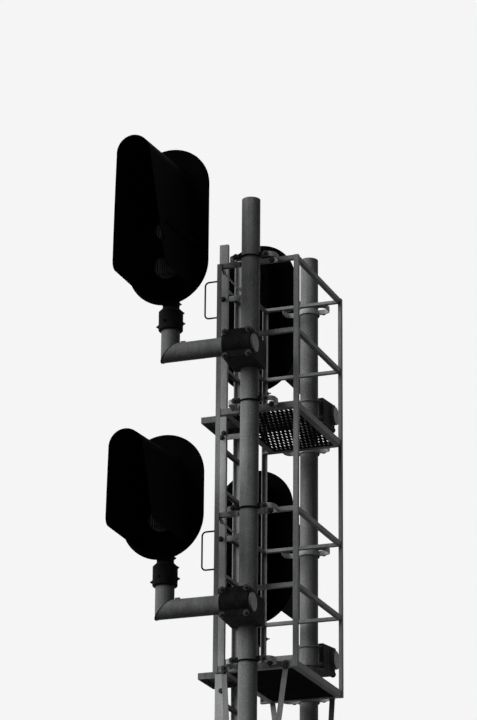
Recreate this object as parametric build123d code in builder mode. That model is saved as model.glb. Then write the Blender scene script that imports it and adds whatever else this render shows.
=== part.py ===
from build123d import *
import math
import os

os.makedirs("parts", exist_ok=True)

# Masts, millimetres. The origin is the middle of the near mast's base plate, on the ground.
mast_od = 133.0
mast_wall = 6.3
mast_free_end = 405.0        # mast above the upper cage's top rail
cap_thickness = 8.0
cap_round = 5.0
fit_gap = 0.3                # clearance where a curved piece seats on a pipe

# Cage between the masts
cage_width = 618.0           # along X, over the posts
cage_depth = 975.0           # along Y, over the posts
mast_stand_off = 137.0       # mast axis to the face of the cage
lower_platform = 6963.0      # walking level above the ground
platform_rise = 1870.0       # lower to upper walking level
guard_height = 1137.0        # walking level to the top of the top rail
mid_rail_height = 588.0
post_leg = 34.0
rail_leg = 32.0
frame_leg = 45.0             # angles of the platform frames
angle_thickness = 5.0
floor_thickness = 5.0
floor_inset = 59.0           # ladder side of the cage to the platform's own edge
tie_bays = 4                 # equal bays between the ground and the lower platform

# Ladder on the -X side
ladder_near = 101.0          # cage face to the near stile
ladder_width = 340.0         # over the stiles
ladder_outside = 21.0        # stile edge outside the cage
stile_width = 64.0
stile_flange = 30.0
stile_thickness = 5.0
stile_overrun = 188.0        # stile above the upper cage's top rail
rung_pitch = 304.8
rung_width = 36.0
rung_depth = 22.0
rung_thickness = 3.0
rung_above_platform = 84.0   # the rung next above the upper walking level
rungs_above = 3              # rungs higher than that one
cleat_height = 36.0
cleat_length = 16.0

# Foot steps, from outside the ladder in to the platform
step_length = 296.0
step_width = 137.0
step_near = 125.0            # cage face to the near end of the step
step_rise = 30.0             # step above the walking level
step_depth = 45.0
step_thickness = 5.0
step_clear = 2.0             # between the step's neck and the stiles

# Grab handles and safety chains at the ladder's opening
handle_bar = 12.0
handle_height = 277.0
handle_reach = 96.0
handle_bend = 30.0
handle_below_rail = 265.0    # top rail to the handle's middle
chain_bar = 8.0
chain_above_rail = 14.0
chain_clear = 12.0           # stile to the chain
chain_lug = 20.0

# Bow straps and half rings that hold the cage to the masts
strap_height = 36.0
strap_thickness = 8.0
strap_reach = 176.0          # mast axis to the outside of the bow
strap_bend = 52.0
strap_foot_inner = 98.0      # mast axis to the foot's inner end
strap_below_frame = 8.0      # top of a frame to the strap's middle
strap_below_rail = 24.0      # top of a rail to the strap's middle
ring_bar = 12.0
ring_drop = 18.0             # strap's middle to the bar's middle
ring_eye_reach = 96.0

# Knee braces under the lower platform
brace_width = 38.0
brace_thickness = 8.0
brace_top_inset = 80.0       # side of the cage to the brace's middle
brace_drop = 1400.0
brace_tab = 60.0
brace_foot_tab = 30.0
band_thickness = 6.0
band_height = 60.0
band_ear = 48.0
band_ear_bolt = 22.0         # band to the middle of the brace's foot

# Mast bases
base_plate = 400.0
base_corner = 30.0
base_thickness = 25.0
base_bolt_spacing = 280.0
base_bolt_hole = 28.0
base_hub_height = 220.0
base_hub_wall_top = 18.0
base_hub_wall_foot = 42.0
gusset_thickness = 14.0
gusset_reach = 172.0
gusset_height = 175.0
gusset_toe = 20.0

# Arms that carry the signal heads
arm_offset = 216.0           # mast axis to arm axis
upper_arm_rise = 361.0       # upper walking level to arm axis
lower_arm_rise = 365.0
upper_arm_reach = 518.0      # mast axis to the stub's axis
lower_arm_reach = 529.0
near_arm_tail = 122.0        # mast axis to the arm's free end
far_arm_tail = 138.0
arm_disc = 10.0
stub_height = 240.0

# Cross clamps between mast and arm
clamp_width = 210.0
clamp_height = 206.0
clamp_shell = 14.0
clamp_flange = 16.0
clamp_split = 2.0            # gap between facing flanges
arm_cap_depth = 40.0         # arm axis to the split in front of it
mast_grip_width = 230.0
mast_grip_height = 187.0
mast_grip_drop = 22.0        # arm axis down to the middle of the mast's grip
mast_shell = 6.0
mast_shell_height = 146.0
mast_rim = 10.0              # rim above and below the shell, as high as it stands out

# Signal heads
light_spacing = 290.0
first_light = 643.0          # arm axis to the lowest light
far_upper_drop = 55.0        # how much lower that head sits on its arm
background_radius = 305.0
background_thickness = 3.0
head_forward = 67.0          # stub axis to the front of the background
housing_width = 260.0
housing_depth = 150.0
housing_inset = 120.0        # housing short of the background's ends
housing_round = 22.0
boss_wall = 6.5
boss_proud = 8.0             # boss in front of the background
lens_diameter = 213.0
lens_dome = 24.0
lens_seat = 5.0
hood_length = 674.0          # background to the rim, at the height of the rim's arc
hood_lean = 9.5              # degrees that the rim leans out at the top
hood_base_radius = 165.0
hood_rim_radius = 127.0
hood_rim_rise = 9.0          # rim's arc centre above the top light
hood_base_flare = 2.5        # degrees that each side spreads downwards
hood_rim_flare = 5.1
hood_below_light = 203.0
hood_wall = 4.0
hood_corner = 60.0
socket_radius = 88.0
socket_foot = 123.0          # arm axis to the socket's lower edge
socket_height = 188.0
socket_chamfer = 26.0
socket_lip = 6.0
neck_radius = 60.0

# Places worked out from the driving dimensions
mast_radius = mast_od / 2
bore_radius = mast_radius + fit_gap
mast_spacing = cage_depth + 2 * mast_stand_off
mid_depth = mast_spacing / 2
upper_platform = lower_platform + platform_rise
lower_rail = lower_platform + guard_height
upper_rail = upper_platform + guard_height
mast_top = upper_rail + mast_free_end
half_width = cage_width / 2
rail_near = mast_stand_off + angle_thickness
rail_far = mast_spacing - rail_near
rail_side = half_width - angle_thickness
platform_side = floor_inset - half_width
platforms = (lower_platform, upper_platform)
rail_levels = [level + rise for level in platforms for rise in (mid_rail_height, guard_height)]
frame_tops = [level + frame_leg - angle_thickness - floor_thickness for level in platforms]
tie_tops = [lower_platform * bay / tie_bays for bay in range(1, tie_bays)]
strap_levels = [top - strap_below_frame for top in tie_tops + frame_tops]
strap_levels += [top - strap_below_rail for top in (lower_rail, upper_rail)]
stile_outer = -half_width - ladder_outside
stile_inner = stile_outer + stile_width
stile_near = mast_stand_off + ladder_near
stile_far = stile_near + ladder_width
brace_foot = frame_tops[0] - brace_drop
head_front = -arm_offset - head_forward
lens_radius = lens_diameter / 2
boss_radius = lens_radius + boss_wall
mirror_plane = Plane(origin=(0, mid_depth, 0), z_dir=(0, 1, 0))
upper_arm = (upper_platform + upper_arm_rise, upper_arm_reach)
lower_arm = (lower_platform + lower_arm_rise, lower_arm_reach)
arm_levels = (lower_arm[0], upper_arm[0])


def far_side(solid):
    return mirror(solid, about=mirror_plane)


def both_sides(solids):
    return solids + [far_side(solid) for solid in solids]


def save(solids, name):
    """One node: a single piece, or like pieces that don't touch."""
    node = solids[0] if len(solids) == 1 else Compound(children=solids)
    node.label = name
    export_step(node, f"parts/{name}.step")


# Masts
def mast():
    with BuildPart() as pipe:
        with BuildSketch(Plane.XY.offset(base_thickness)):
            Circle(mast_radius)
            Circle(mast_radius - mast_wall, mode=Mode.SUBTRACT)
        extrude(amount=mast_top - cap_thickness - base_thickness)
    return pipe.part


def mast_cap():
    with BuildPart() as cap:
        with BuildSketch(Plane.XY.offset(mast_top - cap_thickness)):
            Circle(mast_radius)
        extrude(amount=cap_thickness)
        fillet(cap.edges().sort_by(Axis.Z)[-1], cap_round)
    return cap.part


def mast_base():
    hub_foot = mast_radius + base_hub_wall_foot
    hub_top = mast_radius + base_hub_wall_top
    with BuildPart() as base:
        with BuildSketch():
            RectangleRounded(base_plate, base_plate, base_corner)
            with GridLocations(base_bolt_spacing, base_bolt_spacing, 2, 2):
                Circle(base_bolt_hole / 2, mode=Mode.SUBTRACT)
        extrude(amount=base_thickness)
        with BuildSketch(Plane.XZ):
            with BuildLine():
                Polyline(
                    (bore_radius, base_thickness), (hub_foot, base_thickness),
                    (hub_top, base_hub_height), (bore_radius, base_hub_height), close=True,
                )
            make_face()
        revolve(axis=Axis.Z)
    with BuildPart() as gusset:
        with BuildSketch(Plane.XZ):
            with BuildLine():
                inner = mast_radius + base_hub_wall_top / 2
                Polyline(
                    (inner, base_thickness), (gusset_reach, base_thickness),
                    (gusset_reach, base_thickness + gusset_toe),
                    (hub_top, base_thickness + gusset_height), (inner, base_thickness + gusset_height),
                    close=True,
                )
            make_face()
        extrude(amount=gusset_thickness / 2, both=True)
    with BuildPart() as casting:
        add(base.part)
        with PolarLocations(0, 4):
            add(gusset.part)
    return casting.part


# Cage of angle bars
def post(side):
    bottom = frame_tops[0] - frame_leg
    with BuildPart() as bar:
        with BuildSketch(Plane.XY.offset(bottom)):
            with Locations((side * (half_width - post_leg / 2), mast_stand_off + angle_thickness / 2)):
                Rectangle(post_leg, angle_thickness)
            with Locations((side * (half_width - angle_thickness / 2), mast_stand_off + post_leg / 2)):
                Rectangle(angle_thickness, post_leg)
        extrude(amount=upper_rail - bottom)
    return bar.part


def near_bar(top, leg):
    """Angle along X: one leg upright on the posts, the other flat at its foot, coped at its ends."""
    with BuildPart() as bar:
        with BuildSketch(Plane.XY.offset(top - leg)):
            with Locations((0, rail_near + angle_thickness / 2)):
                Rectangle(2 * rail_side, angle_thickness)
        extrude(amount=leg)
        with BuildSketch(Plane.XY.offset(top - leg)):
            with Locations((0, rail_near + leg / 2)):
                Rectangle(2 * (rail_side - angle_thickness), leg)
        extrude(amount=angle_thickness)
    return bar.part


def side_bar(top, leg, face, inward, start):
    """Angle along Y between the near and far bars, its flat leg coped clear of theirs."""
    stop = rail_far - angle_thickness
    cope_start = max(start, rail_near + leg)
    cope_stop = rail_far - leg
    with BuildPart() as bar:
        with BuildSketch(Plane.XY.offset(top - leg)):
            with Locations((face + inward * angle_thickness / 2, (start + stop) / 2)):
                Rectangle(angle_thickness, stop - start)
        extrude(amount=leg)
        with BuildSketch(Plane.XY.offset(top - leg)):
            with Locations((face + inward * leg / 2, (cope_start + cope_stop) / 2)):
                Rectangle(leg, cope_stop - cope_start)
        extrude(amount=angle_thickness)
    return bar.part


def frame_ring(top, leg):
    """Welded ring of angles, its ladder side set in to clear the ladder."""
    near = near_bar(top, leg)
    start = rail_near + angle_thickness
    with BuildPart() as ring:
        add(near)
        add(far_side(near))
        add(side_bar(top, leg, rail_side, -1, start))
        add(side_bar(top, leg, platform_side, 1, start))
    return ring.part


def floor(level):
    """Plate lying on the frame's flat legs, inside its upright ones."""
    with BuildPart() as plate:
        with BuildSketch(Plane.XY.offset(level - floor_thickness)):
            with Locations(((platform_side + rail_side) / 2, mid_depth)):
                Rectangle(rail_side - platform_side - 2 * angle_thickness,
                          rail_far - rail_near - 2 * angle_thickness)
        extrude(amount=floor_thickness)
    return plate.part


def foot_step(level):
    """Shallow tray with its lip turned down all round, its neck between the stiles."""
    neck_length = ladder_width - 2 * (stile_flange + step_clear)
    with BuildPart() as tray:
        with BuildSketch(Plane.XY.offset(level + step_rise - step_depth)):
            with Locations((stile_outer - step_width / 2, mast_stand_off + step_near + step_length / 2)):
                Rectangle(step_width, step_length)
            with Locations(((stile_outer + platform_side) / 2, (stile_near + stile_far) / 2)):
                Rectangle(platform_side - stile_outer, neck_length)
        extrude(amount=step_depth)
        offset(amount=-step_thickness, openings=tray.faces().sort_by(Axis.Z)[0])
    return tray.part


# Ladder
def stile(web_face, inward):
    """Channel with its web outwards along Y and its flanges towards the rungs."""
    with BuildPart() as channel:
        with BuildSketch():
            with Locations(((stile_outer + stile_inner) / 2, web_face + inward * stile_flange / 2)):
                Rectangle(stile_width, stile_flange)
            with Locations(((stile_outer + stile_inner) / 2,
                            web_face + inward * (stile_flange / 2 + stile_thickness))):
                Rectangle(stile_width - 2 * stile_thickness, stile_flange, mode=Mode.SUBTRACT)
        extrude(amount=upper_rail + stile_overrun)
    return channel.part


def rung(height):
    """Folded channel, open below, between the stiles' webs."""
    middle = (stile_outer + stile_inner) / 2
    with BuildPart() as tread:
        with BuildSketch(Plane.XZ.offset(-stile_near - stile_thickness)):
            with Locations((middle, height - rung_depth / 2)):
                Rectangle(rung_width, rung_depth)
            with Locations((middle, height - rung_thickness - rung_depth / 2)):
                Rectangle(rung_width - 2 * rung_thickness, rung_depth, mode=Mode.SUBTRACT)
        extrude(amount=-(ladder_width - 2 * stile_thickness))
    return tread.part


def rung_heights():
    highest = upper_platform + rung_above_platform + rungs_above * rung_pitch
    return [highest - step * rung_pitch for step in range(int(highest / rung_pitch))]


def cleat(top, edge):
    """Block between a stile and the frame's ladder side."""
    with BuildPart() as block:
        with BuildSketch(Plane.XY.offset(top - cleat_height)):
            with Locations(((stile_inner + platform_side) / 2, edge)):
                Rectangle(platform_side - stile_inner, cleat_length)
        extrude(amount=cleat_height)
    return block.part


def grab_handle(top_rail):
    """Round bar bent to a D, its ends on the near post."""
    middle = top_rail - handle_below_rail
    depth = mast_stand_off + post_leg / 2
    low = (-half_width, depth, middle - handle_height / 2)
    high = (-half_width, depth, middle + handle_height / 2)
    with BuildPart() as handle:
        with BuildLine():
            FilletPolyline(
                low, (low[0] - handle_reach, depth, low[2]), (high[0] - handle_reach, depth, high[2]), high,
                radius=handle_bend,
            )
        with BuildSketch(Plane(origin=low, z_dir=(-1, 0, 0))):
            Circle(handle_bar / 2)
        sweep()
    return handle.part


def safety_chain(top_rail):
    """Plain bar of the chain's size between its two lugs."""
    height = top_rail + chain_above_rail
    line = stile_inner + chain_clear
    start = rail_near + angle_thickness
    stop = stile_far - angle_thickness
    with BuildPart() as chain:
        with BuildSketch(Plane.XZ.offset(-start)):
            with Locations((line, height)):
                RegularPolygon(chain_bar / 2, 8)
        extrude(amount=start - stop)
        with BuildSketch(Plane.XY.offset(top_rail - chain_lug)):
            with Locations((line, start + chain_lug / 2)):
                Rectangle(chain_bar, chain_lug)
            with Locations(((stile_inner + line) / 2, stop - chain_lug / 2)):
                Rectangle(line - stile_inner, chain_lug)
        extrude(amount=chain_lug + chain_above_rail + chain_bar)
    return chain.part


# Bow straps and half rings
def bow_strap(level):
    """Flat bar on edge: cradle behind the mast, ears, bows back to the rail, feet turned in."""
    depth = rail_near
    inside = strap_reach - strap_thickness
    with BuildPart() as strap:
        with BuildSketch(Plane.XY.offset(level - strap_height / 2)):
            with Locations((0, depth / 2)):
                RectangleRounded(2 * strap_reach, depth, strap_bend)
                RectangleRounded(2 * inside, depth - 2 * strap_thickness, strap_bend - strap_thickness,
                                 mode=Mode.SUBTRACT)
            with Locations((0, depth - strap_thickness / 2)):
                Rectangle(2 * strap_foot_inner, strap_thickness, mode=Mode.SUBTRACT)
            Circle(bore_radius + strap_thickness)
            Circle(bore_radius, mode=Mode.SUBTRACT)
            with Locations((0, -strap_reach / 2)):
                Rectangle(2 * strap_reach, strap_reach, mode=Mode.SUBTRACT)
        extrude(amount=strap_height)
    return strap.part


def half_ring(level):
    """Round bar bent round the outside of the mast, its flat eyes on the strap's ears."""
    with BuildPart() as ring:
        with BuildSketch(Plane.XZ):
            with Locations((bore_radius + ring_bar / 2, level - ring_drop)):
                RegularPolygon(ring_bar / 2, 8)
        revolve(axis=Axis.Z, revolution_arc=-180)
        with BuildSketch(Plane.XY.offset(level - strap_height / 2)):
            with Locations((0, -strap_thickness / 2)):
                Rectangle(2 * ring_eye_reach, strap_thickness)
            Circle(bore_radius, mode=Mode.SUBTRACT)
        extrude(amount=strap_height)
    return ring.part


# Knee braces
def knee_brace(side):
    """Flat bar, flat on the frame at the top, turned in between the band's ears at the foot."""
    top = frame_tops[0]
    top_middle = half_width - brace_top_inset
    half = brace_thickness / 2
    ear = bore_radius + band_thickness + band_ear_bolt
    spread = (top_middle - ear) / (top - brace_foot)
    low = brace_foot - brace_foot_tab
    low_middle = ear - spread * brace_foot_tab
    reach = brace_width / 2 * math.sqrt(1 + spread ** 2)
    with BuildPart() as brace:
        with BuildSketch(Plane.YZ):
            with BuildLine():
                Polyline(
                    (rail_near - brace_thickness, top), (rail_near, top), (rail_near, top - brace_tab),
                    (half, brace_foot + brace_foot_tab), (half, low), (-half, low),
                    (-half, brace_foot + brace_foot_tab), (rail_near - brace_thickness, top - brace_tab),
                    close=True,
                )
            make_face()
        extrude(amount=cage_width, both=True)
        with BuildSketch(Plane.XZ):
            with BuildLine():
                Polyline(
                    (side * (low_middle - reach), low), (side * (low_middle + reach), low),
                    (side * (top_middle + reach), top), (side * (top_middle - reach), top),
                    close=True,
                )
            make_face()
        extrude(amount=cage_width, both=True, mode=Mode.INTERSECT)
    return brace.part


def band_half(turn):
    """Half of the band on the mast; its ears lie on the braces' feet."""
    outer = bore_radius + band_thickness
    split = brace_thickness / 2
    with BuildPart() as band:
        with BuildSketch(Plane.XY.offset(brace_foot - band_height / 2)):
            Circle(outer)
            with Locations((0, turn * (split + band_thickness / 2))):
                Rectangle(2 * (outer + band_ear), band_thickness)
            Circle(bore_radius, mode=Mode.SUBTRACT)
            with Locations((0, turn * (split - outer))):
                Rectangle(2 * (outer + band_ear), 2 * outer, mode=Mode.SUBTRACT)
        extrude(amount=band_height)
    return band.part


# Arms and cross clamps
def arm(height, reach, tail):
    """Pipe along X with a mitred elbow up to the head, its free end closed by a disc."""
    with BuildPart() as pipe:
        with BuildLine():
            Polyline(
                (tail - arm_disc, -arm_offset, height), (-reach, -arm_offset, height),
                (-reach, -arm_offset, height + stub_height),
            )
        with BuildSketch(Plane(origin=(tail - arm_disc, -arm_offset, height), z_dir=(-1, 0, 0))):
            Circle(mast_radius)
            Circle(mast_radius - mast_wall, mode=Mode.SUBTRACT)
        sweep(transition=Transition.RIGHT)
        with BuildSketch(Plane(origin=(tail - arm_disc, -arm_offset, height), z_dir=(1, 0, 0))):
            Circle(mast_radius)
        extrude(amount=arm_disc)
    return pipe.part


def clamp_body(height):
    """Casting between mast and arm, bored for the mast and slotted from the front for the arm."""
    face = clamp_split / 2
    with BuildPart() as body:
        with BuildSketch(Plane.XZ.offset(arm_offset + arm_cap_depth - face)):
            with Locations((0, height)):
                Rectangle(clamp_width, clamp_height)
        with BuildSketch(Plane.XZ.offset(face)):
            with Locations((0, height - mast_grip_drop)):
                Rectangle(mast_grip_width, mast_grip_height)
        loft()
        with BuildSketch(Plane.YZ):
            with Locations((-arm_offset, height)):
                Circle(bore_radius)
            with Locations((-arm_offset - arm_cap_depth / 2, height)):
                Rectangle(arm_cap_depth, 2 * bore_radius)
        extrude(amount=mast_grip_width, both=True, mode=Mode.SUBTRACT)
        with BuildSketch(Plane.XY.offset(height)):
            Circle(bore_radius)
        extrude(amount=clamp_height, both=True, mode=Mode.SUBTRACT)
    return body.part


def mast_grip(height):
    """Half shell round the mast with two rims, bolted to the casting through its side flanges."""
    face = clamp_split / 2
    middle = height - mast_grip_drop
    rim = (mast_shell_height - mast_rim) / 2
    with BuildPart() as shell:
        with BuildSketch(Plane.XY.offset(middle - mast_shell_height / 2)):
            Circle(bore_radius + mast_shell)
        extrude(amount=mast_shell_height)
        for level in (middle - rim, middle + rim):
            with BuildSketch(Plane.XY.offset(level - mast_rim / 2)):
                Circle(bore_radius + mast_shell + mast_rim)
            extrude(amount=mast_rim)
        with BuildSketch(Plane.XY.offset(middle - mast_grip_height / 2)):
            with Locations((0, face + clamp_flange / 2)):
                Rectangle(mast_grip_width, clamp_flange)
        extrude(amount=mast_grip_height)
        with BuildSketch(Plane.XY.offset(middle - mast_grip_height / 2)):
            Circle(bore_radius)
            with Locations((0, face - mast_grip_width / 2)):
                Rectangle(mast_grip_width, mast_grip_width)
        extrude(amount=mast_grip_height, mode=Mode.SUBTRACT)
    return shell.part


def arm_grip(height):
    """Cap over the front of the arm, bolted to the casting above and below it."""
    face = -arm_offset - arm_cap_depth - clamp_split / 2
    with BuildPart() as shell:
        with BuildSketch(Plane.YZ):
            with Locations((-arm_offset, height)):
                Circle(bore_radius + clamp_shell)
            with Locations((face - clamp_flange / 2, height)):
                Rectangle(clamp_flange, clamp_height)
            with Locations((-arm_offset, height)):
                Circle(bore_radius, mode=Mode.SUBTRACT)
            with Locations((face + clamp_height / 2, height)):
                Rectangle(clamp_height, clamp_height, mode=Mode.SUBTRACT)
        extrude(amount=clamp_width / 2, both=True)
    return shell.part


# Signal heads. Each is a stub's place (x, base level) and a number of lights.
def lights(base, count):
    return [base + first_light + step * light_spacing for step in range(count)]


def head_ends(base, count):
    heights = lights(base, count)
    return heights[0] - background_radius, heights[-1] + background_radius


def head_socket(x, arm_level, drop):
    """Collar over the stub's end with a neck up to the housing."""
    foot = arm_level - drop + socket_foot
    top = foot + socket_height
    housing_bottom = head_ends(arm_level - drop, 1)[0] + housing_inset
    stub_top = arm_level + stub_height
    with BuildPart() as socket:
        with BuildSketch(Plane(origin=(x, -arm_offset, 0), x_dir=(1, 0, 0), z_dir=(0, -1, 0))):
            with BuildLine():
                Polyline(
                    (bore_radius, foot), (socket_radius - socket_lip, foot), (socket_radius, foot + socket_lip),
                    (socket_radius, top - socket_chamfer), (neck_radius, top), (neck_radius, housing_bottom),
                    (0, housing_bottom), (0, stub_top), (bore_radius, stub_top), close=True,
                )
            make_face()
        revolve(axis=Axis((x, -arm_offset, 0), (0, 0, 1)))
    return socket.part


def background(x, base, count):
    """Flat plate with round ends and a hole for each boss."""
    low, high = head_ends(base, count)
    with BuildPart() as plate:
        with BuildSketch(Plane.XZ.offset(-head_front - background_thickness)):
            with Locations((x, (low + high) / 2)):
                SlotOverall(high - low, 2 * background_radius, rotation=90)
            with Locations(*[(x, height) for height in lights(base, count)]):
                Circle(boss_radius + fit_gap, mode=Mode.SUBTRACT)
        extrude(amount=background_thickness)
    return plate.part


def housing(x, base, count):
    """Closed case behind the background, with a boss and a seat for each lens."""
    low, high = head_ends(base, count)
    back_of_plate = -head_front - background_thickness
    places = [(x, height) for height in lights(base, count)]
    with BuildPart() as case:
        with BuildSketch(Plane.XZ.offset(back_of_plate - housing_depth)):
            with Locations((x, (low + high) / 2)):
                RectangleRounded(housing_width, high - low - 2 * housing_inset, housing_round)
        extrude(amount=housing_depth)
        with BuildSketch(Plane.XZ.offset(back_of_plate)):
            with Locations(*places):
                Circle(boss_radius)
        extrude(amount=background_thickness + boss_proud)
        with BuildSketch(Plane.XZ.offset(-head_front + boss_proud)):
            with Locations(*places):
                Circle(lens_radius + fit_gap)
        extrude(amount=-lens_seat, mode=Mode.SUBTRACT)
    return case.part


def lens(x, height):
    front = head_front - boss_proud
    sphere = (lens_radius ** 2 + lens_dome ** 2) / (2 * lens_dome)
    half_angle = math.asin(lens_radius / sphere) / 2
    middle = (sphere * math.sin(half_angle), lens_dome - sphere * (1 - math.cos(half_angle)))
    with BuildPart() as dome:
        with BuildSketch(Plane(origin=(x, front, height), x_dir=(0, 0, 1), z_dir=(1, 0, 0))):
            with BuildLine():
                Polyline((0, lens_dome), (0, -lens_seat), (lens_radius, -lens_seat), (lens_radius, 0))
                ThreePointArc((lens_radius, 0), middle, (0, lens_dome))
            make_face()
        revolve(axis=Axis((x, front, height), (0, -1, 0)))
    return dome.part


def hood_section(depth, x, arc_centre, radius, flare, bottom):
    """Arch on an upright plane: a half circle with sides that spread to the bottom."""
    spread = radius + (arc_centre - bottom) * math.tan(math.radians(flare))
    with BuildSketch(Plane.XZ.offset(depth)) as arch:
        with BuildLine():
            ThreePointArc((x - radius, arc_centre), (x, arc_centre + radius), (x + radius, arc_centre))
            Polyline((x + radius, arc_centre), (x + spread, bottom), (x - spread, bottom),
                     (x - radius, arc_centre))
        make_face()
    return arch.sketch


def hood_sections(x, top_light, share, wall, bottom):
    """The arches at the background and at a share of the hood's length, which may pass its rim."""
    def between(base_value, rim_value):
        return base_value + share * (rim_value - base_value)
    return [
        hood_section(-head_front, x, top_light, hood_base_radius - wall, hood_base_flare, bottom),
        hood_section(-head_front + share * hood_length, x, top_light + between(0, hood_rim_rise),
                     between(hood_base_radius, hood_rim_radius) - wall,
                     between(hood_base_flare, hood_rim_flare), bottom),
    ]


def hood(x, base, count):
    """Tapered cowl round three sides of the lights, open below and in front."""
    heights = lights(base, count)
    bottom = heights[0] - hood_below_light
    spare = hood_corner + hood_wall
    past_rim = 1 + spare / hood_length
    rim_front = -head_front + hood_length
    rim_centre = heights[-1] + hood_rim_rise
    lean = math.tan(math.radians(hood_lean))
    with BuildPart() as shell:
        loft(hood_sections(x, heights[-1], past_rim, 0, bottom - spare))
        loft(hood_sections(x, heights[-1], past_rim, hood_wall, bottom - 2 * spare), mode=Mode.SUBTRACT)
        with BuildSketch(Plane.YZ.offset(x)):
            top = heights[-1] + 2 * hood_base_radius
            with BuildLine():
                Polyline(
                    (head_front, bottom), (head_front, top),
                    (-rim_front - (top - rim_centre) * lean, top),
                    (-rim_front + (rim_centre - bottom) * lean, bottom), close=True,
                )
            outline = make_face()
            fillet(outline.vertices().group_by(Axis.Y)[0].sort_by(Axis.X)[0], hood_corner)
        extrude(amount=2 * background_radius, both=True, mode=Mode.INTERSECT)
    return shell.part


near_mast = mast()
save([near_mast], "near_mast")
save([far_side(near_mast)], "far_mast")
save(both_sides([mast_cap()]), "mast_caps")
near_base = mast_base()
save([near_base], "near_mast_base")
save([far_side(near_base)], "far_mast_base")

for side, word in ((-1, "left"), (1, "right")):
    near_post = post(side)
    save([near_post], f"near_{word}_post")
    save([far_side(near_post)], f"far_{word}_post")

near_rails = [near_bar(level, rail_leg) for level in rail_levels]
save(near_rails, "near_rails")
save([far_side(rail) for rail in near_rails], "far_rails")
behind_near_rail = rail_near + angle_thickness
save([side_bar(level, rail_leg, rail_side, -1, behind_near_rail) for level in rail_levels], "right_rails")
save([side_bar(level, rail_leg, -rail_side, 1, stile_far) for level in rail_levels], "left_rails")

for level, top, word in zip(platforms, frame_tops, ("lower", "upper")):
    save([frame_ring(top, frame_leg)], f"{word}_platform_frame")
    save([floor(level)], f"{word}_platform_floor")
save([frame_ring(top, frame_leg) for top in tie_tops], "tie_frames")
save([foot_step(level) for level in platforms], "foot_steps")

save([stile(stile_near, 1), stile(stile_far, -1)], "ladder_stiles")
save([rung(height) for height in rung_heights()], "ladder_rungs")
cleat_edges = (stile_near + cleat_length / 2, stile_far - cleat_length / 2)
save([cleat(top, edge) for top in tie_tops + frame_tops for edge in cleat_edges], "ladder_cleats")
save([grab_handle(level) for level in (lower_rail, upper_rail)], "grab_handles")
save([safety_chain(level) for level in (lower_rail, upper_rail)], "safety_chains")

save(both_sides([bow_strap(level) for level in strap_levels]), "mast_bow_straps")
save(both_sides([half_ring(level) for level in strap_levels]), "mast_half_rings")
save(both_sides([knee_brace(-1), knee_brace(1)]), "knee_braces")
save(both_sides([band_half(-1), band_half(1)]), "brace_bands")

for (height, reach), word in ((lower_arm, "lower"), (upper_arm, "upper")):
    save([arm(height, reach, near_arm_tail)], f"near_{word}_arm")
    save([far_side(arm(height, reach, far_arm_tail))], f"far_{word}_arm")
save(both_sides([clamp_body(height) for height in arm_levels]), "clamp_bodies")
save(both_sides([mast_grip(height) for height in arm_levels]), "clamp_mast_grips")
save(both_sides([arm_grip(height) for height in arm_levels]), "clamp_arm_grips")

heads = (
    ("near_upper", upper_arm, 3, 0, False),
    ("near_lower", lower_arm, 2, 0, False),
    ("far_upper", upper_arm, 3, far_upper_drop, True),
    ("far_lower", lower_arm, 3, 0, True),
)
sockets = []
lenses = []
for word, (arm_level, reach), count, drop, is_far in heads:
    x = -reach
    base = arm_level - drop
    place = far_side if is_far else (lambda solid: solid)
    save([place(background(x, base, count))], f"{word}_background")
    save([place(housing(x, base, count))], f"{word}_housing")
    save([place(hood(x, base, count))], f"{word}_hood")
    sockets.append(place(head_socket(x, arm_level, drop)))
    lenses += [place(lens(x, height)) for height in lights(base, count)]
save(sockets, "head_sockets")
save(lenses, "signal_lenses")
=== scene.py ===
"""A railway signal structure: two pipe masts, caged platforms, a ladder and four hooded signal heads."""
import math

import bmesh
import bpy
from mathutils import Matrix, Vector


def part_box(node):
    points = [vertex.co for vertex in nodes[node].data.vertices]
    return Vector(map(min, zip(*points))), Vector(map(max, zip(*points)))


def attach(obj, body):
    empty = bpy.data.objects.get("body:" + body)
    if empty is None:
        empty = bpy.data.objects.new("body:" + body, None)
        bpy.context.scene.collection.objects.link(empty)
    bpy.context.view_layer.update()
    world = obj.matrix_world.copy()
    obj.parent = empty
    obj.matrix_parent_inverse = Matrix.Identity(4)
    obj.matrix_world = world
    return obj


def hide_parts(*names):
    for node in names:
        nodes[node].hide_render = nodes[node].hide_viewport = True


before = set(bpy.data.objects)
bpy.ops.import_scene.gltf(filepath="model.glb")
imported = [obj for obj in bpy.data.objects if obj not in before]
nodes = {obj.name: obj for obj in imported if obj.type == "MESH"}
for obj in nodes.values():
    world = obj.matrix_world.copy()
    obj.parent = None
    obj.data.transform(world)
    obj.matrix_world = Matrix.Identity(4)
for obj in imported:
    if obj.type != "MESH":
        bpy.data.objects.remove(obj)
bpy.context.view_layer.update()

MM = 0.001


# Materials
def colour(hex_value):
    """An sRGB hex colour as linear RGBA."""
    parts = [int(hex_value[start:start + 2], 16) / 255 for start in (1, 3, 5)]
    return (*[part / 12.92 if part <= 0.04045 else ((part + 0.055) / 1.055) ** 2.4 for part in parts], 1)


def add_node(tree, kind, inputs=None, **settings):
    """Adds a shader node, sets its properties and fills its inputs with values or with linked sockets."""
    made = tree.nodes.new(kind)
    for name, value in settings.items():
        setattr(made, name, value)
    set_inputs(tree, made, inputs or {})
    return made


def set_inputs(tree, made, inputs):
    """Fills a node's inputs with values or with linked sockets."""
    for name, value in inputs.items():
        if isinstance(value, bpy.types.NodeSocket):
            tree.links.new(value, made.inputs[name])
        else:
            made.inputs[name].default_value = value


def new_material(name):
    """A material with its node tree and its main shader."""
    material = bpy.data.materials.new(name)
    material.use_nodes = True
    tree = material.node_tree
    return material, tree, tree.nodes["Principled BSDF"]


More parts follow.
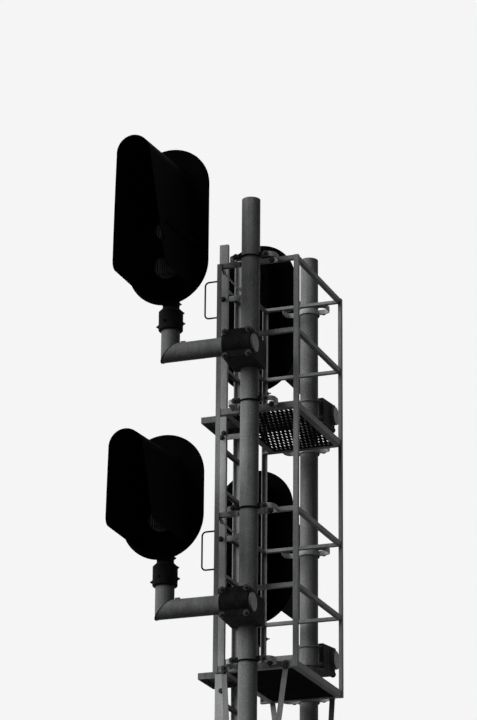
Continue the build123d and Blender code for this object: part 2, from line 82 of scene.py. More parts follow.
def object_pattern(tree, size):
    """Object coordinates scaled so that one unit of pattern is size metres along each axis."""
    place = add_node(tree, "ShaderNodeTexCoord")
    return add_node(tree, "ShaderNodeMapping", {
        "Vector": place.outputs["Object"], "Scale": [1 / each for each in size],
    }).outputs["Vector"]


def cloud(tree, size, detail=5.0, roughness=0.6):
    """Soft noise whose patches are about size metres along each axis."""
    return add_node(tree, "ShaderNodeTexNoise", {
        "Vector": object_pattern(tree, size), "Scale": 1.0, "Detail": detail, "Roughness": roughness,
    }).outputs["Fac"]


def two_tones(tree, amount, low, high, dark, light):
    """A ramp between two colours as a pattern goes from low to high."""
    ramp = add_node(tree, "ShaderNodeValToRGB", {"Fac": amount})
    for stop, place, tone in zip(ramp.color_ramp.elements, (low, high), (dark, light)):
        stop.position = place
        stop.color = colour(tone)
    return ramp.outputs["Color"]


def galvanised_steel(name, dark, light, specular, roughness=0.55):
    """Hot-dipped zinc, weathered dull: cloudy grey with faint crystals, dirty patches and rain streaks."""
    material, tree, shader = new_material(name)
    streaks = cloud(tree, (30 * MM, 30 * MM, 700 * MM))
    patches = cloud(tree, (140 * MM, 140 * MM, 200 * MM), 3.0, 0.5)
    crystals = add_node(tree, "ShaderNodeTexVoronoi", {
        "Vector": object_pattern(tree, (12 * MM, 12 * MM, 12 * MM)), "Scale": 1.0,
    })
    dull = add_node(tree, "ShaderNodeMix", {"Factor": 0.45, "A": streaks, "B": patches}, data_type="FLOAT")
    mixed = add_node(tree, "ShaderNodeMix", {
        "Factor": 0.22, "A": dull.outputs["Result"], "B": crystals.outputs["Distance"],
    }, data_type="FLOAT")
    bump = add_node(tree, "ShaderNodeBump", {
        "Height": cloud(tree, (8 * MM, 8 * MM, 8 * MM), 3.0), "Strength": 0.2, "Distance": 1 * MM,
    })
    set_inputs(tree, shader, {
        "Base Color": two_tones(tree, mixed.outputs["Result"], 0.3, 0.68, dark, light),
        "Metallic": 0.0, "Roughness": roughness, "Specular IOR Level": specular,
        "Normal": bump.outputs["Normal"],
    })
    return material


def aged_iron(name, dark, light):
    """Sand-cast iron or bare steel rod, its skin grainy and dark with age."""
    material, tree, shader = new_material(name)
    grain = cloud(tree, (4 * MM, 4 * MM, 4 * MM), 2.0)
    patches = cloud(tree, (50 * MM, 50 * MM, 80 * MM), 6.0, 0.65)
    bump = add_node(tree, "ShaderNodeBump", {"Height": grain, "Strength": 0.35, "Distance": 1 * MM})
    set_inputs(tree, shader, {
        "Base Color": two_tones(tree, patches, 0.35, 0.7, dark, light),
        "Metallic": 0.0, "Roughness": 0.8, "Specular IOR Level": 0.04, "Normal": bump.outputs["Normal"],
    })
    return material


def black_paint(name):
    """Matt black stove paint on sheet metal, a little dust dulling it."""
    material, tree, shader = new_material(name)
    dust = cloud(tree, (100 * MM, 100 * MM, 300 * MM))
    set_inputs(tree, shader, {
        "Base Color": two_tones(tree, dust, 0.4, 0.75, "#030303", "#070707"),
        "Metallic": 0.0, "Roughness": 0.7, "Specular IOR Level": 0.006,
    })
    return material


def lens_glass(name, tone):
    """Pressed glass lens over an unlit lamp: dark, glossy, its upright flutes 14 mm apart."""
    material, tree, shader = new_material(name)
    flute, one_band_a_unit = 14 * MM, 0.31
    flutes = add_node(tree, "ShaderNodeTexWave", {
        "Vector": object_pattern(tree, (flute, flute, flute)), "Scale": one_band_a_unit,
    }, bands_direction="X")
    bump = add_node(tree, "ShaderNodeBump", {
        "Height": flutes.outputs["Fac"], "Strength": 0.8, "Distance": 4 * MM,
    })
    set_inputs(tree, shader, {
        "Base Color": colour(tone), "Roughness": 0.12, "Specular IOR Level": 0.25,
        "Normal": bump.outputs["Normal"],
    })
    return material


zinc = galvanised_steel("weathered_galvanised_steel", "#6a6b6c", "#9d9e9e", 0.12)
zinc_pipe = galvanised_steel("weathered_galvanised_pipe", "#666767", "#9b9c9d", 0.05)
zinc_dull = galvanised_steel("dull_galvanised_steel", "#515252", "#818282", 0.05)
# Pale zinc for the stiles, straps, chains and tie bars; on the arms' end discs the same pale tone is painted
# light
zinc_light = galvanised_steel("clean_galvanised_steel_and_painted_light", "#919293", "#bfc0c1", 0.25)
# Floor plates and their tread: a dark tone that paints in the shade under the platforms
floor_zinc_painted_shade = galvanised_steel("galvanised_plate_painted_shade", "#252525", "#454545", 0.0, 0.9)
bolt_zinc = galvanised_steel("galvanised_bolts", "#111112", "#29292a", 0.2)
iron = aged_iron("dark_cast_iron", "#0f0f0f", "#212122")
grey_iron = aged_iron("grey_cast_iron", "#333334", "#545456")
dark_rod = aged_iron("dark_steel_rod", "#161617", "#262627")
black = black_paint("matt_black_paint")
glass = lens_glass("dark_pressed_glass", "#0a0b0c")


# Pieces and the shapes that they share
def piece(name, bm, material, replaces=()):
    """One finished piece on the structure's single body, its edges sharp where they turn over 30 degrees."""
    bmesh.ops.remove_doubles(bm, verts=bm.verts, dist=0.01 * MM)
    mesh = bpy.data.meshes.new(name)
    bm.to_mesh(mesh)
    bm.free()
    for face in mesh.polygons:
        face.use_smooth = True
    made = bpy.data.objects.new(name, mesh)
    bpy.context.scene.collection.objects.link(made)
    mesh.materials.append(material)
    mesh.set_sharp_from_angle(angle=math.radians(30))
    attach(made, "root")
    if replaces:
        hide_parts(*replaces)


def towards(place, axis):
    """Matrix that stands a shape at a place with its +Z along an axis."""
    return Matrix.Translation(place) @ Vector(axis).to_track_quat("Z", "Y").to_matrix().to_4x4()


def block(bm, low, high, rounding):
    """A box between two corners with rounded edges."""
    low, high = Vector(low), Vector(high)
    place = Matrix.Translation((low + high) / 2) @ Matrix.Diagonal((*[abs(side) for side in high - low], 1))
    made = bmesh.ops.create_cube(bm, size=1, matrix=place)["verts"]
    edges = list({edge for vert in made for edge in vert.link_edges})
    bmesh.ops.bevel(bm, geom=edges, offset=rounding, segments=2, affect="EDGES", profile=0.5, material=-1)


def rod(bm, start, end, radius, sides, end_radius=None):
    """A round or many-sided bar from start to end, tapered if it has an end radius."""
    start, end = Vector(start), Vector(end)
    if end_radius is None:
        end_radius = radius
    bmesh.ops.create_cone(
        bm, cap_ends=True, segments=sides, radius1=radius, radius2=end_radius,
        depth=(end - start).length, matrix=towards((start + end) / 2, end - start),
    )


def strip(bm, start, end, width, thickness, upright=(0, 0, 1)):
    """A flat bar from start to end, its width as near upright as it can be."""
    start, end = Vector(start), Vector(end)
    along = (end - start).normalized()
    across = along.cross(Vector(upright)).normalized()
    turn = Matrix((along, across, along.cross(across))).transposed().to_4x4()
    size = Matrix.Diagonal(((end - start).length, thickness, width, 1))
    bmesh.ops.create_cube(bm, size=1, matrix=Matrix.Translation((start + end) / 2) @ turn @ size)


def ring(bm, place, radius, bar, steps=48, sides=8):
    """A round bar bent to a closed ring about the local Z of a matrix."""
    start = Matrix.Translation((radius, 0, 0)) @ Matrix.Rotation(math.pi / 2, 4, "X")
    older = set(bm.verts)
    circle = bmesh.ops.create_circle(bm, segments=sides, radius=bar, matrix=start)["verts"]
    edges = list({edge for vert in circle for edge in vert.link_edges})
    bmesh.ops.spin(bm, geom=circle + edges, cent=(0, 0, 0), axis=(0, 0, 1), angle=math.tau, steps=steps,
                   use_merge=True)
    bmesh.ops.transform(bm, verts=[vert for vert in bm.verts if vert not in older], matrix=place)


def bolt(bm, place, axis, across=24 * MM, proud=14 * MM, stud=0.0):
    """A washer and a hexagon head or nut on a face, with the stud's end beyond it."""
    place, axis = Vector(place), Vector(axis).normalized()
    washer = 3 * MM
    # A hexagon's corners lie 0.577 of its width from its middle
    washer_radius, corner_radius, stud_radius = across * 0.95, across * 0.577, across * 0.3
    rod(bm, place, place + axis * washer, washer_radius, 16)
    rod(bm, place + axis * washer, place + axis * (washer + proud), corner_radius, 6)
    if stud:
        rod(bm, place + axis * (washer + proud), place + axis * (washer + proud + stud), stud_radius, 10)


# Sizes read from the frame
mast_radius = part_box("near_mast")[1].x
far_low, far_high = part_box("far_mast")
mast_spacing = (far_low.y + far_high.y) / 2
post_low, post_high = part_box("near_left_post")
half_width, cage_near, upper_rail = -post_low.x, post_low.y, post_high.z
post_leg = post_high.x - post_low.x
lower_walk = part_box("lower_platform_floor")[1].z
upper_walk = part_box("upper_platform_floor")[1].z
lower_rail = upper_rail - upper_walk + lower_walk
platform_tops = [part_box(f"{word}_platform_frame")[1].z for word in ("lower", "upper")]
highest_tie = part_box("tie_frames")[1].z
frame_tops = [highest_tie * bay / 3 for bay in (1, 2, 3)] + platform_tops
stile_low, stile_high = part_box("ladder_stiles")

# Each mast's depth with the way from it into the cage
masts_and_ways_in = ((0, 1), (mast_spacing, -1))

# Middles of the bow straps, a little under the tops of the flat frames and of the guard rails
strap_levels = [top - 8 * MM for top in frame_tops] + [top - 24 * MM for top in (lower_rail, upper_rail)]

# Sizes that the frame doesn't give
section_wall = 5 * MM
flat_bar = 8 * MM
light_spacing = 290 * MM
background_radius = 305 * MM
hood_length = 674 * MM

# The mast grips' middle lies below the arms' axis, and the face of their flanges past the mast's axis
grip_drop, grip_face = 22 * MM, 17 * MM

# Depth from a mast to the face of the cage's rails, and of the straps and braces bolted to them
rail_face = cage_near + section_wall
bar_face = rail_face - flat_bar

# The arms are pipe of the masts' size; out is -1 for those on the near side and 1 on the far side
arms = {}
heads = {}
for word in ("near_upper", "near_lower", "far_upper", "far_lower"):
    low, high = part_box(f"{word}_arm")
    out = -1 if word.startswith("near") else 1
    arms[word] = {
        "height": low.z + mast_radius, "stub": low.x + mast_radius, "end": high.x,
        "depth": (low.y + high.y) / 2, "radius": (high.y - low.y) / 2,
        "out": out, "mast": 0 if out < 0 else mast_spacing,
    }
    low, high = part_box(f"{word}_background")
    count = round((high.z - low.z - 2 * background_radius) / light_spacing) + 1
    heads[word] = {
        "x": (low.x + high.x) / 2, "front": low.y if out < 0 else high.y, "out": out,
        "lights": [low.z + background_radius + light_spacing * step for step in range(count)],
        "housing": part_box(f"{word}_housing"),
    }

# Finishes for the pieces that keep their CAD shape
finishes = {
    zinc_pipe: ["near_mast", "far_mast", "mast_caps"],
    zinc_dull: ["foot_steps"] + [f"{word}_arm" for word in arms],
    zinc: ["near_left_post", "near_right_post", "far_left_post", "far_right_post", "near_rails", "far_rails",
           "right_rails", "left_rails", "lower_platform_frame", "upper_platform_frame", "tie_frames",
           "ladder_rungs", "ladder_cleats", "knee_braces", "brace_bands", "clamp_mast_grips"],
    zinc_light: ["ladder_stiles", "mast_bow_straps"],
    floor_zinc_painted_shade: ["lower_platform_floor"],
    dark_rod: ["mast_half_rings", "grab_handles"],
    grey_iron: ["near_mast_base", "far_mast_base", "clamp_bodies"],
    iron: ["clamp_arm_grips"],
    black: [f"{word}_{part}" for word in arms for part in ("background", "housing", "hood")],
    glass: ["signal_lenses"],
}
for material, names in finishes.items():
    for name in names:
        nodes[name].data.materials.clear()
        nodes[name].data.materials.append(material)


# Upper floor: steel plate punched with staggered slots, plain where it lies on its frame
def perforated_floor():
    low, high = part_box("upper_platform_floor")
    plain_edge = 42 * MM
    slot_radius, slot_straight, corners = 6 * MM, 32 * MM, 8
    pitch_x, pitch_y = 16.5 * MM, 62 * MM
    bm = bmesh.new()
    size = Matrix.Diagonal(((high.x - low.x) / 2, (high.y - low.y) / 2, 1, 1))
    middle = Vector(((low.x + high.x) / 2, (low.y + high.y) / 2, low.z))
    bmesh.ops.create_grid(bm, x_segments=1, y_segments=1, size=1, matrix=Matrix.Translation(middle) @ size)
    bmesh.ops.delete(bm, geom=bm.faces[:], context="FACES_ONLY")
    columns = int((high.x - low.x - 2 * plain_edge) / pitch_x)
    rows = int((high.y - low.y - 2 * plain_edge) / pitch_y)
    for column in range(columns):
        for row in range(column % 2, rows, 2):
            shift = Vector(((column - (columns - 1) / 2) * pitch_x, (row - (rows - 1) / 2) * pitch_y, 0))
            place = middle + shift
            turn = Matrix.Translation(place) @ Matrix.Rotation(math.pi / corners, 4, "Z")
            slot = bmesh.ops.create_circle(bm, segments=corners, radius=slot_radius, matrix=turn)["verts"]
            for vert in slot:
                vert.co.y += math.copysign(slot_straight / 2, vert.co.y - place.y)
    bmesh.ops.triangle_fill(bm, use_beauty=True, edges=bm.edges[:], normal=(0, 0, 1))
    top = bmesh.ops.extrude_face_region(bm, geom=bm.faces[:], use_keep_orig=True)["geom"]
    moved = [part for part in top if isinstance(part, bmesh.types.BMVert)]
    bmesh.ops.translate(bm, verts=moved, vec=(0, 0, high.z - low.z))
    bmesh.ops.recalc_face_normals(bm, faces=bm.faces[:])
    piece("perforated_upper_floor", bm, floor_zinc_painted_shade, replaces=["upper_platform_floor"])


# Raised tread pattern on the lower floor and the foot steps
def tread(bm, low_x, high_x, low_y, high_y, level):
    """Short raised bars all over an oblong of plate, slanting left and right by turns."""
    half_long, half_wide, proud, taper, pitch = 13 * MM, 4 * MM, 1.6 * MM, 0.6, 30 * MM
    columns, rows = int((high_x - low_x) / pitch), int((high_y - low_y) / pitch)
    for column in range(columns):
        for row in range(rows):
            x = (low_x + high_x) / 2 + (column - (columns - 1) / 2) * pitch
            y = (low_y + high_y) / 2 + (row - (rows - 1) / 2) * pitch
            slant = math.radians(45 if (column + row) % 2 else -45)
            place = Matrix.Translation((x, y, level + proud / 2)) @ Matrix.Rotation(slant, 4, "Z")
            size = Matrix.Diagonal((half_wide, half_long, proud, 1))
            bmesh.ops.create_cone(bm, cap_ends=True, segments=4, radius1=1, radius2=taper, depth=1,
                                  matrix=place @ size)


def tread_pattern():
    bm = bmesh.new()
    floor_edge, step_edge, stile_gap = 5 * MM, 8 * MM, 2 * MM
    low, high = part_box("lower_platform_floor")
    tread(bm, low.x + floor_edge, high.x - floor_edge, low.y + floor_edge, high.y - floor_edge, high.z)
    low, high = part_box("foot_steps")
    for level in (high.z, high.z - upper_walk + lower_walk):
        tread(bm, low.x + step_edge, stile_low.x - stile_gap, low.y + step_edge, high.y - step_edge, level)
    piece("tread_pattern", bm, floor_zinc_painted_shade)


# Safety chains: an eye plate on the near post, a snap hook and real links to an eye on the far stile
def safety_chains():
    bm = bmesh.new()
    bar, pitch, width, sag, twist = 2.6 * MM, 24 * MM, 9 * MM, 10 * MM, 0.4
    oval = Matrix.Diagonal(((pitch / 2 + bar) / (width - bar), 1, 1, 1))
    plate_low, plate_high = Vector((-22, -14, -14)) * MM, Vector((2, -8, 14)) * MM
    eye_shift, hook_shift = Vector((2, 0, -4)) * MM, Vector((0, 16, -14)) * MM
    eye_radius, hook_radius, far_eye_radius = 13 * MM, 14 * MM, 12 * MM
    thick_bar, bends = 4 * MM, 20
    for rail in (lower_rail, upper_rail):
        start = Vector((-half_width + post_leg + 4 * MM, cage_near + post_leg - 4 * MM, rail - 40 * MM))
        end = Vector((stile_low.x + 34 * MM, stile_high.y - 3 * MM, rail - 34 * MM))
        hook = start + hook_shift
        block(bm, start + plate_low, start + plate_high, 2 * MM)
        ring(bm, towards(start + eye_shift, (1, 0.3, 0)), eye_radius, thick_bar, bends)
        ring(bm, towards(hook, (1, -0.4, 0)), hook_radius, thick_bar, bends)
        ring(bm, towards(end, (1, 0, 0)), far_eye_radius, thick_bar, bends)
        count = round((end - hook).length / pitch)
        for link in range(count):
            share = (link + 0.5) / count
            drop = Vector((0, 0, -4 * sag * share * (1 - share)))
            along = (end - hook + Vector((0, 0, -4 * sag * (1 - 2 * share)))).normalized()
            side = along.cross(Vector((0, 0, 1))).normalized()
            turn = Matrix((along, side, along.cross(side))).transposed().to_4x4()
            spin = Matrix.Rotation(math.pi / 2 * (link % 2) + twist, 4, "X")
            place = Matrix.Translation(hook.lerp(end, share) + drop)
            ring(bm, place @ turn @ spin @ oval, width - bar, bar, steps=14, sides=6)
    piece("safety_chain_links", bm, zinc_light, replaces=["safety_chains"])


# Bow straps: a nut on each ear with the end of the half ring's eye, and one on each foot
def strap_bolts():
    bm = bmesh.new()
    eyes = bmesh.new()
    bolt_x, eye_inner, eye_outer, eye_half_height = 112 * MM, 90 * MM, 128 * MM, 18 * MM
    eye_gap = 0.2 * MM
    for level in strap_levels:
        for mast, inward in masts_and_ways_in:
            ear_face = mast - inward * flat_bar
            foot_face = mast + inward * bar_face
            for side in (-1, 1):
                block(eyes, (side * eye_inner, ear_face, level - eye_half_height),
                      (side * eye_outer, mast - inward * eye_gap, level + eye_half_height), 2 * MM)
                bolt(bm, (side * bolt_x, ear_face, level), (0, -inward, 0), stud=8 * MM)
                bolt(bm, (side * bolt_x, foot_face, level), (0, -inward, 0), across=22 * MM, proud=10 * MM)
    piece("strap_bolts", bm, bolt_zinc)
    piece("half_ring_eye_ends", eyes, zinc)


# Cross clamps: bolts at the corners of the arm caps and along the mast grips' flanges
def clamp_bolts():
    bm = bmesh.new()
    cap_face, cap_x, cap_z = 57 * MM, 88 * MM, 89 * MM
    flange_x, flange_z = 99 * MM, 62 * MM
    for arm in arms.values():
        out, height = arm["out"], arm["height"]
        for side in (-1, 1):
            for up in (-1, 1):
                place = (side * cap_x, arm["depth"] + out * cap_face, height + up * cap_z)
                bolt(bm, place, (0, out, 0), stud=10 * MM)
                place = (side * flange_x, arm["mast"] - out * grip_face, height - grip_drop + up * flange_z)
                bolt(bm, place, (0, -out, 0), across=18 * MM, proud=9 * MM, stud=6 * MM)
    piece("clamp_bolts", bm, bolt_zinc)


# Cross clamps: the pale disc that closes each arm's free end beside its clamp, its pale tone painted light
# on an end face that the lamp doesn't reach
def arm_end_painted_light_plates():
    bm = bmesh.new()
    rim, thickness = 4 * MM, 1.6 * MM
    for arm in arms.values():
        start = Vector((arm["end"], arm["depth"], arm["height"]))
        rod(bm, start, start + Vector((thickness, 0, 0)), arm["radius"] - rim, 32)
    piece("arm_end_painted_light_plates", bm, zinc_light)


# Cross clamps: the iron flange plates between clamp body and mast grip
def clamp_flange_plates():
    bm = bmesh.new()
    inner, outer, half_height = 84 * MM, 115 * MM, 93 * MM
    past_face, thickness = 2 * MM, 15 * MM
    for arm in arms.values():
        face = arm["mast"] - arm["out"] * grip_face
        middle = arm["height"] - grip_drop
        for side in (-1, 1):
            block(bm, (side * inner, face - arm["out"] * past_face, middle - half_height),
                  (side * outer, face + arm["out"] * thickness, middle + half_height), 1 * MM)
    piece("clamp_flange_plates", bm, iron)


# Arms: weld beads at the mitres, the lip of each end disc, a lug on each arm, an earthing screw by the disc
def arm_trim():
    bm = bmesh.new()
    welds = bmesh.new()
    weld, lip, lip_inset = 3 * MM, 2.5 * MM, 10 * MM
    lug_reach, lug_low, lug_high = 95 * MM, Vector((18, 8, 6)) * MM, Vector((18, 8, 12)) * MM
    screw_inset, screw_foot, screw_rise, screw_radius = 26 * MM, 4 * MM, 14 * MM, 5 * MM
    cross_bar = Vector((17 * MM, 0, 0))
    mitre_radius = mast_radius * math.sqrt(2)
    oval = Matrix.Diagonal((1, 1 / math.sqrt(2), 1, 1))
    for arm in arms.values():
        elbow = Vector((arm["stub"], arm["depth"], arm["height"]))
        slant = Matrix.Translation(elbow) @ Matrix.Rotation(math.radians(-45), 4, "Y")
        ring(welds, slant @ oval, mitre_radius, weld)
        ring(bm, towards((arm["end"] - lip_inset, arm["depth"], arm["height"]), (1, 0, 0)), mast_radius, lip)
        lug = Vector((arm["stub"] + lug_reach, arm["depth"], arm["height"] + mast_radius))
        block(bm, lug - lug_low, lug + lug_high, 3 * MM)
        screw = Vector((arm["end"] - screw_inset, arm["depth"], arm["height"] + mast_radius))
        screw_top = screw + Vector((0, 0, screw_rise))
        rod(bm, screw - Vector((0, 0, screw_foot)), screw_top, screw_radius, 8)
        rod(bm, screw_top - cross_bar, screw_top + cross_bar, screw_radius, 8)
    piece("arm_welds_and_lugs", bm, zinc_pipe)
    piece("mitre_welds", welds, dark_rod)


# Head sockets: collars set at the height that the photograph shows, and set screws round them
def sockets():
    screws = bmesh.new()
    collars = bmesh.new()
    collar, foot_radius, shoulder, neck = 87 * MM, 81 * MM, 62 * MM, 60 * MM
    chamfer, collar_height, shoulder_height, lip = 6 * MM, 140 * MM, 166 * MM, 1 * MM
    below_lights, foot_rise, into_housing = 520 * MM, 40 * MM, 2 * MM
    # Degrees round from the arm, height and radius of each screw
    places = ((20, 98 * MM, collar), (-100, 98 * MM, collar), (200, 72 * MM, collar), (140, 98 * MM, collar),
              (20, 178 * MM, 80 * MM), (25, 246 * MM, 59 * MM), (205, 246 * MM, 59 * MM))
    for word, arm in arms.items():
        level = heads[word]["lights"][0] - below_lights
        foot = level + foot_rise
        top = heads[word]["housing"][0].z + into_housing
        outline = ((foot, foot_radius), (foot + chamfer, collar), (foot + collar_height, collar),
                   (foot + shoulder_height, shoulder), (foot + shoulder_height + lip, neck), (top, neck))
        for (start, start_radius), (end, end_radius) in zip(outline, outline[1:]):
            place = Matrix.Translation((arm["stub"], arm["depth"], (start + end) / 2))
            bmesh.ops.create_cone(collars, cap_ends=start == foot, segments=40, radius1=start_radius,
                                  radius2=end_radius, depth=end - start, matrix=place)
        for degrees, height, radius in places:
            turn = math.radians(degrees)
            axis = Vector((math.cos(turn), -arm["out"] * math.sin(turn), 0))
            place = Vector((arm["stub"], arm["depth"], level + height)) + axis * radius
            bolt(screws, place, axis, across=15 * MM, proud=8 * MM, stud=5 * MM)
    piece("socket_set_screws", screws, iron)
    piece("socket_collars", collars, iron, replaces=["head_sockets"])


# Hoods: a slim flange on the background with its screws, and on the upper near hood a stay and a catch
def hood_width(share, centre, height):
    """Half the hood's width at a share of its length out, wider the lower it is under its round top."""
    base_radius, rim_radius, rim_rise = 165 * MM, 127 * MM, 9 * MM
    base_flare, rim_flare = 2.5, 5.1
    radius = base_radius + share * (rim_radius - base_radius)
    flare = math.radians(base_flare + share * (rim_flare - base_flare))
    return radius + max(centre + share * rim_rise - height, 0) * math.tan(flare)


def hood_flanges():
    inner, outer, plate = 160 * MM, 188 * MM, 2.5 * MM
    below_lights, screw_ring, screw_reach = 195 * MM, 178 * MM, 11 * MM
    screw_width, screw_proud = 13 * MM, 7 * MM
    middle = (inner + outer) / 2
    size = Matrix.Diagonal((outer - inner, plate, 1, 1))
    for word, head in heads.items():
        bm = bmesh.new()
        out, x, front, centre = head["out"], head["x"], head["front"], head["lights"][-1]
        depth, face = front + out * plate / 2, front + out * plate
        bottom = head["lights"][0] - below_lights
        start = Matrix.Translation((x + middle, depth, centre)) @ size
        corners = bmesh.ops.create_grid(bm, x_segments=1, y_segments=1, size=0.5, matrix=start)["verts"]
        section = corners + list({edge for vert in corners for edge in vert.link_edges}) + bm.faces[:]
        bmesh.ops.spin(bm, geom=section, cent=(x, front, centre), axis=(0, 1, 0), angle=-math.pi, steps=24)
        spread = hood_width(0, centre, bottom) - hood_width(0, centre, centre)
        for side in (-1, 1):
            strip(bm, (x + side * middle, depth, centre), (x + side * (middle + spread), depth, bottom),
                  outer - inner, plate, (0, 1, 0))
        bmesh.ops.recalc_face_normals(bm, faces=bm.faces[:])
        for degrees in (-10, 46, 90, 134, 190):
            turn = math.radians(degrees)
            place = (x + math.cos(turn) * screw_ring, face, centre + math.sin(turn) * screw_ring)
            bolt(bm, place, (0, out, 0), screw_width, screw_proud)
        for height in head["lights"][:-1]:
            reach = hood_width(0, centre, height) + screw_reach
            for side in (-1, 1):
                bolt(bm, (x + side * reach, face, height), (0, out, 0), screw_width, screw_proud)
        piece(f"{word}_hood_flange", bm, black)


def hood_stay():
    """Flat stay from the background out to the hood's right wall, with its knob and the catch below."""
    bm = bmesh.new()
    head = heads["near_upper"]
    x, front, centre = head["x"], head["front"], head["lights"][-1]
    width, thickness = 24 * MM, 3 * MM
    stay_share, stay_level = 0.71, centre - 451 * MM
    catch_share, catch_level = 0.83, stay_level - 150 * MM

    def on_wall(share, level, gap):
        """A place just outside the hood's right wall, at a share of its length out."""
        return Vector((x + hood_width(share, centre, level) + gap, front - share * hood_length, level))

    outer = on_wall(stay_share, stay_level, 1 * MM)
    inner = Vector((x + 232 * MM, front - 4 * MM, stay_level))
    strip(bm, outer, inner, width, thickness)
    strip(bm, inner + Vector((-14, 1, 0)) * MM, inner + Vector((52, 1, 14)) * MM, width, thickness)
    bolt(bm, outer + Vector((1, 12, 0)) * MM, (1, 0, 0), across=16 * MM, proud=9 * MM)
    knob = inner + Vector((38, -2, 16)) * MM
    rod(bm, knob, knob + Vector((0, -14, 0)) * MM, 11 * MM, 16, 8 * MM)
    catch = on_wall(catch_share, catch_level, 2 * MM)
    block(bm, catch - Vector((2, 16, 12)) * MM, catch + Vector((5, 16, 12)) * MM, 1.5 * MM)
    bolt(bm, catch + Vector((5, 0, 0)) * MM, (1, 0, 0), across=13 * MM, proud=8 * MM)
    piece("near_upper_hood_stay", bm, black)


# Backs of the housings: a door for each light with hinges and a latch, and a cable gland below
def housing_doors():
    door_half_width, door_half_height, plate, end_gap = 112 * MM, 128 * MM, 5 * MM, 12 * MM
    hinge_x, hinge_shift, half_pin = 116 * MM, 70 * MM, Vector((0, 0, 22 * MM))
    leaf_low, leaf_high = Vector((0, -2, -18)) * MM, Vector((30, 2, 18)) * MM
    latch_x, latch_proud, lever_depth = 90 * MM, 12 * MM, 14 * MM
    lever_top, lever_bottom = Vector((0, 0, 6 * MM)), Vector((0, 0, -42 * MM))
    gland_x, gland_nut, gland_foot = 88 * MM, Vector((0, 0, -12 * MM)), Vector((0, 0, -30 * MM))
    for word, head in heads.items():
        bm = bmesh.new()
        low, high = head["housing"]
        out, x = head["out"], head["x"]
        back = high.y if out < 0 else low.y
        face = back - out * plate
        for height in head["lights"]:
            bottom = max(height - door_half_height, low.z + end_gap)
            top = min(height + door_half_height, high.z - end_gap)
            block(bm, (x - door_half_width, back, bottom), (x + door_half_width, face, top), 2 * MM)
            for shift in (-hinge_shift, hinge_shift):
                hinge = Vector((x - hinge_x, face, height + shift))
                rod(bm, hinge - half_pin, hinge + half_pin, 6 * MM, 10)
                block(bm, hinge + leaf_low, hinge + leaf_high, 1 * MM)
            latch = Vector((x + latch_x, face, height))
            rod(bm, latch, latch - Vector((0, out * latch_proud, 0)), 13 * MM, 16, 11 * MM)
            lever = latch - Vector((0, out * lever_depth, 0))
            strip(bm, lever + lever_top, lever + lever_bottom, 12 * MM, 5 * MM, (1, 0, 0))
        gland = Vector((x + gland_x, (low.y + high.y) / 2, low.z))
        rod(bm, gland, gland + gland_nut, 17 * MM, 6)
        rod(bm, gland + gland_nut, gland + gland_foot, 13 * MM, 12, 10 * MM)
        piece(f"{word}_housing_doors", bm, black)


# Ladder: tie bars bolted inside the near stile, bolts at the cleats, and two in the far left post
def ladder_fittings():
    bars = bmesh.new()
    bm = bmesh.new()
    web = stile_low.y + section_wall
    bar_start, bar_end, bar_half_width, bar_thickness = stile_low.x + 8 * MM, -132 * MM, 20 * MM, 6 * MM
    bar_bolt, cleat_bolt, cleat_drop = stile_low.x + 31 * MM, stile_low.x + 46 * MM, 150 * MM
    bar_levels, post_bolt_levels = (9735 * MM, 8687 * MM, 7938 * MM), (7431 * MM, 9300 * MM)
    for level in bar_levels:
        block(bars, (bar_start, web, level - bar_half_width),
              (bar_end, web + bar_thickness, level + bar_half_width), 2 * MM)
        bolt(bm, (bar_bolt, stile_low.y, level), (0, -1, 0), across=21 * MM)
    for top in frame_tops:
        for depth, out in ((stile_low.y, -1), (stile_high.y, 1)):
            bolt(bm, (cleat_bolt, depth, top - cleat_drop), (0, out, 0), across=20 * MM)
    for level in post_bolt_levels:
        place = (-half_width + post_leg, mast_spacing - rail_face, level)
        bolt(bm, place, (1, 0, 0), across=15 * MM, proud=9 * MM, stud=14 * MM)
    piece("ladder_tie_bars", bars, zinc_light)
    piece("ladder_bolts", bm, bolt_zinc)


# Bolts of the knee braces and their bands, nuts on the base plates, and bolts in the platform frames
def brace_and_base_bolts():
    bm = bmesh.new()
    brace_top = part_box("knee_braces")[1].z
    band_low, band_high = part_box("brace_bands")
    band_middle = (band_low.z + band_high.z) / 2
    brace_x, brace_slope = half_width - 80 * MM, 0.08
    ear_x, ear_face = mast_radius + 28 * MM, 10 * MM
    anchor, base_top, frame_drop = 140 * MM, 25 * MM, 14 * MM
    for mast, inward in masts_and_ways_in:
        for side in (-1, 1):
            for drop in (18 * MM, 44 * MM):
                place = (side * (brace_x - drop * brace_slope), mast + inward * bar_face, brace_top - drop)
                bolt(bm, place, (0, -inward, 0), across=20 * MM, proud=10 * MM)
            for way in (-1, 1):
                place = (side * ear_x, mast + way * ear_face, band_middle)
                bolt(bm, place, (0, way, 0), across=22 * MM, proud=12 * MM, stud=8 * MM)
            for way in (-1, 1):
                place = (side * anchor, mast + way * anchor, base_top)
                bolt(bm, place, (0, 0, 1), across=38 * MM, proud=20 * MM, stud=22 * MM)
    for mast, inward in masts_and_ways_in:
        for top in platform_tops:
            for x in (-180 * MM, 0):
                place = (x, mast + inward * rail_face, top - frame_drop)
                bolt(bm, place, (0, -inward, 0), across=14 * MM, proud=7 * MM)
    piece("brace_and_base_bolts", bm, bolt_zinc)


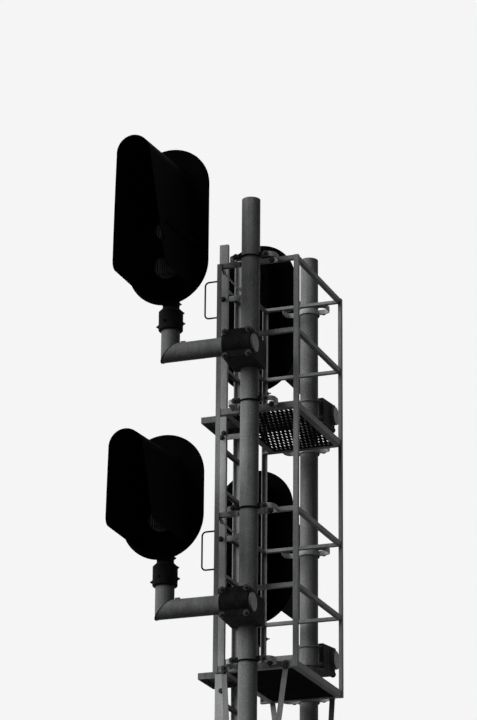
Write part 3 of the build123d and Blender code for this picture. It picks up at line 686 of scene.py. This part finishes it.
# Camera at the photograph's place and angle, in metres and degrees, for a 477 by 720 picture
def camera():
    yaw, pitch, roll = (math.radians(angle) for angle in (20.842, 19.837, 0.513))
    photo_width, focal_pixels, sensor = 477, 3142.8, 36.0
    place = Matrix.Translation((7.326, -19.471, 1.649))
    forward = Vector((-math.sin(yaw) * math.cos(pitch), math.cos(yaw) * math.cos(pitch), math.sin(pitch)))
    level = Vector((math.cos(yaw), math.sin(yaw), 0))
    upright = level.cross(forward)
    right = level * math.cos(roll) + upright * math.sin(roll)
    up = upright * math.cos(roll) - level * math.sin(roll)
    data = bpy.data.cameras.new("photo_camera")
    data.sensor_fit = "HORIZONTAL"
    data.sensor_width = sensor
    data.lens = focal_pixels / photo_width * sensor
    data.clip_end = 200
    made = bpy.data.objects.new("photo_camera", data)
    made.matrix_world = place @ Matrix((right, up, -forward)).transposed().to_4x4()
    bpy.context.scene.collection.objects.link(made)
    bpy.context.scene.camera = made


# Pale floor, plain pale sky and one soft lamp
def seen_directly(tree):
    """One for rays that show the background itself: from the camera, a reflection or through glass."""
    rays = add_node(tree, "ShaderNodeLightPath")
    shiny = add_node(tree, "ShaderNodeMath", {
        0: rays.outputs["Is Glossy Ray"], 1: rays.outputs["Is Transmission Ray"],
    }, operation="MAXIMUM")
    return add_node(tree, "ShaderNodeMath", {
        0: rays.outputs["Is Camera Ray"], 1: shiny.outputs[0],
    }, operation="MAXIMUM").outputs[0]


def pale_floor():
    """A wide floor that shows pale but throws only a dim light up under the structure."""
    half_size = 60
    bm = bmesh.new()
    bmesh.ops.create_grid(bm, x_segments=1, y_segments=1, size=half_size)
    mesh = bpy.data.meshes.new("pale_floor")
    bm.to_mesh(mesh)
    bm.free()
    ground = bpy.data.objects.new("pale_floor", mesh)
    bpy.context.scene.collection.objects.link(ground)
    material, tree, shader = new_material("pale_floor")
    tone = add_node(tree, "ShaderNodeMix", {
        "Factor": seen_directly(tree), "A": colour("#464646"), "B": colour("#f0f0f0"),
    }, data_type="RGBA")
    set_inputs(tree, shader, {
        "Base Color": tone.outputs["Result"], "Roughness": 1.0, "Specular IOR Level": 0.0,
    })
    mesh.materials.append(material)


def sky():
    """A plain pale sky to the eye, whose light comes mostly from above and the left front."""
    world = bpy.data.worlds.new("overcast_sky")
    bpy.context.scene.world = world
    world.use_nodes = True
    tree = world.node_tree
    tree.nodes.clear()
    brightest = (-0.45, -0.25, 0.86)
    direction = add_node(tree, "ShaderNodeTexCoord")
    facing = add_node(tree, "ShaderNodeVectorMath", {
        0: direction.outputs["Generated"], 1: brightest,
    }, operation="DOT_PRODUCT")
    strength = add_node(tree, "ShaderNodeMapRange", {
        "Value": facing.outputs["Value"], "From Min": -0.3, "From Max": 0.9, "To Min": 0.008, "To Max": 0.13,
    })
    lit = add_node(tree, "ShaderNodeBackground", {
        "Color": colour("#ffffff"), "Strength": strength.outputs["Result"],
    })
    plain = add_node(tree, "ShaderNodeBackground", {"Color": colour("#f5f5f5"), "Strength": 1.0})
    mixed = add_node(tree, "ShaderNodeMixShader", {
        0: seen_directly(tree), 1: lit.outputs[0], 2: plain.outputs[0],
    })
    add_node(tree, "ShaderNodeOutputWorld", {"Surface": mixed.outputs[0]})


def soft_sun():
    """A sun behind thin cloud, so wide that its shadows have no edge, from the left front."""
    place, to_sun = (0, 0, 20), (-0.62, -0.55, 0.56)
    lamp = bpy.data.lights.new("soft_sun", "SUN")
    lamp.energy = 3.1
    lamp.angle = math.radians(60)
    made = bpy.data.objects.new("soft_sun", lamp)
    made.matrix_world = towards(place, to_sun)
    bpy.context.scene.collection.objects.link(made)


perforated_floor()
tread_pattern()
safety_chains()
strap_bolts()
clamp_bolts()
arm_end_painted_light_plates()
clamp_flange_plates()
arm_trim()
sockets()
hood_flanges()
hood_stay()
housing_doors()
ladder_fittings()
brace_and_base_bolts()
camera()
pale_floor()
sky()
soft_sun()
bpy.context.scene.view_settings.view_transform = "Standard"
